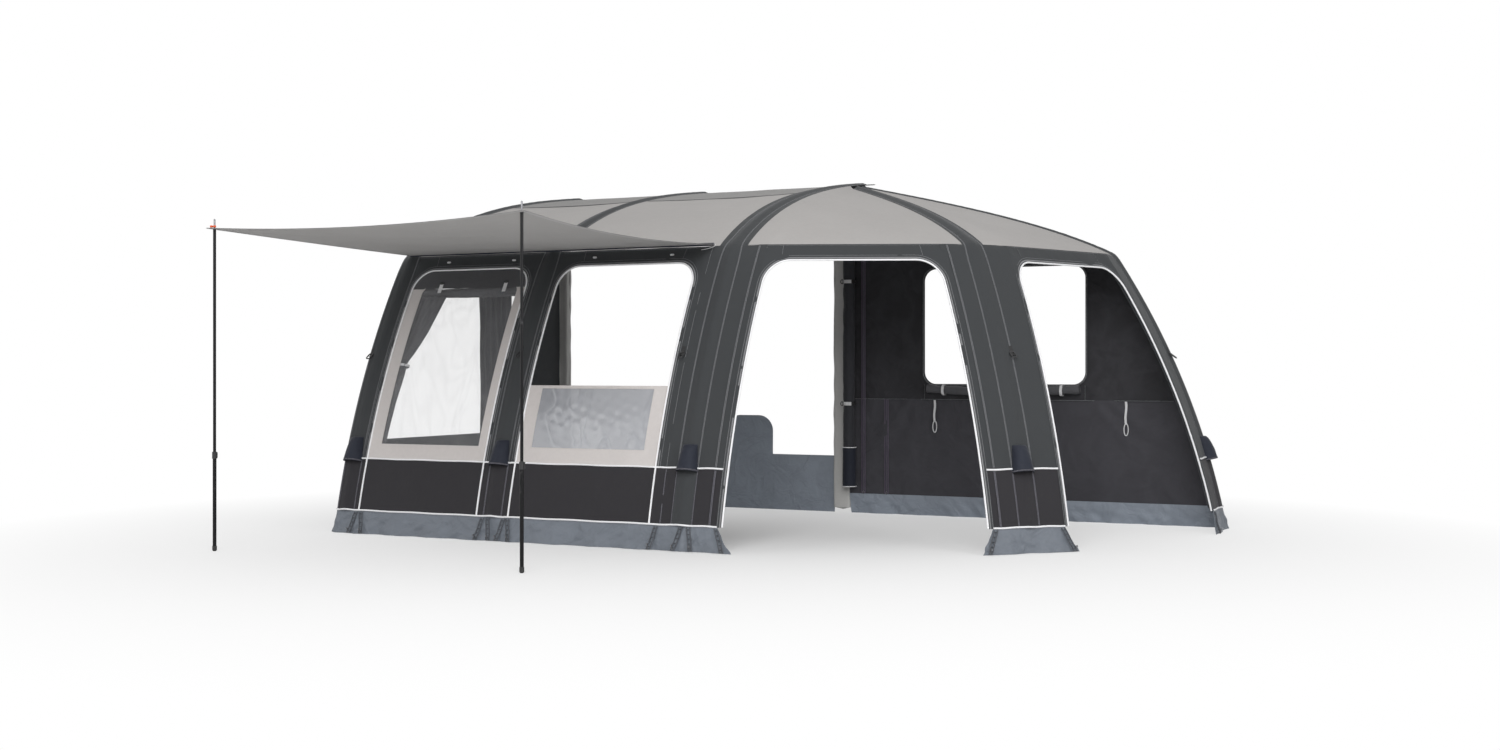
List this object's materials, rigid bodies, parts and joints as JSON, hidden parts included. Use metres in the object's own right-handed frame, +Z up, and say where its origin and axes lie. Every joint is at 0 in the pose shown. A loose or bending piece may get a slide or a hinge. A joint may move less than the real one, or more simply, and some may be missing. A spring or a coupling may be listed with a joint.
{
  "type": "caravan awning",
  "caption": "Inflatable caravan awning with a straight bay section, a fan-shaped wing and a front sun canopy on telescopic poles.",
  "frame": {"origin": "centre of the bounding box on the ground", "axes": "+Z up, front faces -Y, +X to the right along the caravan, caravan on the +Y side"},
  "size_m": [5.4836, 4.3014, 2.5139],
  "materials": {
    "anthracite": "heavy coated polyester, matt",
    "beam_blue": "TPU bladder film, satin",
    "beige": "coated polyester, matt",
    "black_rubber": "moulded black plastic",
    "black_tube": "black anodised tube",
    "canopy_grey": "coated polyester, matt",
    "clear_foil": "clear PVC foil, glossy",
    "curtain_grey": "light curtain cloth",
    "graphite": "coated polyester, matt",
    "grey_skirt": "PVC-coated fabric, satin",
    "navy": "coated polyester, matt",
    "pad_grey": "soft cover over foam",
    "roof_grey": "coated polyester, matt",
    "white_cord": "white plastic"
  },
  "bodies": {
    "awning": {"beam_sleeve_1": "graphite", "air_beam_1": "beam_blue", "beam_sleeve_2": "graphite", "air_beam_2": "beam_blue", "beam_sleeve_3": "graphite", "air_beam_3": "beam_blue", "beam_sleeve_4": "graphite", "air_beam_4": "beam_blue", "beam_sleeve_5": "graphite", "air_beam_5": "beam_blue", "bay_surround_1": "graphite", "roof_panel_1": "roof_grey", "bay_surround_2": "graphite", "roof_panel_2": "roof_grey", "bay_surround_3": "graphite", "roof_panel_3": "roof_grey", "bay_surround_4": "graphite", "roof_panel_4": "roof_grey", "lower_panel_1": "anthracite", "lower_panel_2": "anthracite", "window_border_1": "beige", "window_foil_1": "clear_foil", "half_panel_border_2": "beige", "half_panel_foil_2": "clear_foil", "blind_roll_1": "curtain_grey", "window_curtain_1": "curtain_grey", "side_wall_left": "graphite", "side_window_foil": "clear_foil", "rear_wall": "graphite", "flap_roll": "navy", "door_roll": "navy", "foam_pad_right": "pad_grey", "foam_pad_left": "pad_grey", "mud_skirt_main": "grey_skirt", "mud_skirt_4": "grey_skirt", "mud_skirt_5": "grey_skirt", "mud_skirt_rear": "grey_skirt", "draught_skirt": "grey_skirt", "rail_bead": "white_cord", "canopy_bead_sleeve": "navy", "sun_canopy": "canopy_grey", "pole_inner_tube_left": "black_tube", "pole_inner_tube_right": "black_tube"},
    "hood_1": {"valve_hood_1": "navy"},
    "hood_2": {"valve_hood_2": "navy"},
    "hood_3": {"valve_hood_3": "navy"},
    "hood_4": {"valve_hood_4": "navy"},
    "hood_5": {"valve_hood_5": "navy"},
    "pole_lower_left": {"pole_outer_tube_left": "black_tube", "pole_foot_left": "black_rubber", "pole_clamp_left": "black_rubber"},
    "clamp_lever_left": {"pole_clamp_lever_left": "black_rubber"},
    "pole_lower_right": {"pole_outer_tube_right": "black_tube", "pole_foot_right": "black_rubber", "pole_clamp_right": "black_rubber"},
    "clamp_lever_right": {"pole_clamp_lever_right": "black_rubber"},
    "button_1": {"turn_button_1": "white_cord"},
    "button_2": {"turn_button_2": "white_cord"},
    "button_3": {"turn_button_3": "white_cord"},
    "button_4": {"turn_button_4": "white_cord"}
  },
  "joints": [
    {"name": "hood_1_lift", "type": "hinge", "parent": "awning", "child": "hood_1", "pos_m": [-2.54176, -0.71507, 0.63588], "axis": [-1, 0, 0], "range_deg": [0, 110]},
    {"name": "hood_2_lift", "type": "hinge", "parent": "awning", "child": "hood_2", "pos_m": [-1.37176, -0.71507, 0.63588], "axis": [-1, 0, 0], "range_deg": [0, 110]},
    {"name": "hood_3_lift", "type": "hinge", "parent": "awning", "child": "hood_3", "pos_m": [-0.01176, -0.71507, 0.63588], "axis": [-1, 0, 0], "range_deg": [0, 110]},
    {"name": "hood_4_lift", "type": "hinge", "parent": "awning", "child": "hood_4", "pos_m": [1.81922, 0.04335, 0.63588], "axis": [-0.7071, -0.7071, 0], "range_deg": [0, 110]},
    {"name": "hood_5_lift", "type": "hinge", "parent": "awning", "child": "hood_5", "pos_m": [2.57763, 1.87433, 0.63588], "axis": [0, -1, 0], "range_deg": [0, 110]},
    {"name": "pole_left_slide", "type": "slide", "parent": "awning", "child": "pole_lower_left", "axis": [0, 0, 1], "range_m": [0, 0.4]},
    {"name": "clamp_lever_left_open", "type": "hinge", "parent": "pole_lower_left", "child": "clamp_lever_left", "pos_m": [-2.51776, -2.03567, 0.575], "axis": [0, 0, -1], "range_deg": [0, 120]},
    {"name": "pole_right_slide", "type": "slide", "parent": "awning", "child": "pole_lower_right", "axis": [0, 0, 1], "range_m": [0, 0.4]},
    {"name": "clamp_lever_right_open", "type": "hinge", "parent": "pole_lower_right", "child": "clamp_lever_right", "pos_m": [-0.27676, -2.11567, 0.575], "axis": [0, 0, -1], "range_deg": [0, 120]},
    {"name": "button_1_turn", "type": "hinge", "parent": "awning", "child": "button_1", "pos_m": [-2.20162, -0.14982, 1.8327], "axis": [0, -0.8607, 0.5092], "range_deg": [0, 90]},
    {"name": "button_2_turn", "type": "hinge", "parent": "awning", "child": "button_2", "pos_m": [-1.66194, -0.14982, 1.8327], "axis": [0, -0.8607, 0.5092], "range_deg": [0, 90]},
    {"name": "button_3_turn", "type": "hinge", "parent": "awning", "child": "button_3", "pos_m": [-1.02241, -0.14982, 1.8327], "axis": [0, -0.8607, 0.5092], "range_deg": [0, 90]},
    {"name": "button_4_turn", "type": "hinge", "parent": "awning", "child": "button_4", "pos_m": [-0.43953, -0.14982, 1.8327], "axis": [0, -0.8607, 0.5092], "range_deg": [0, 90]}
  ]
}
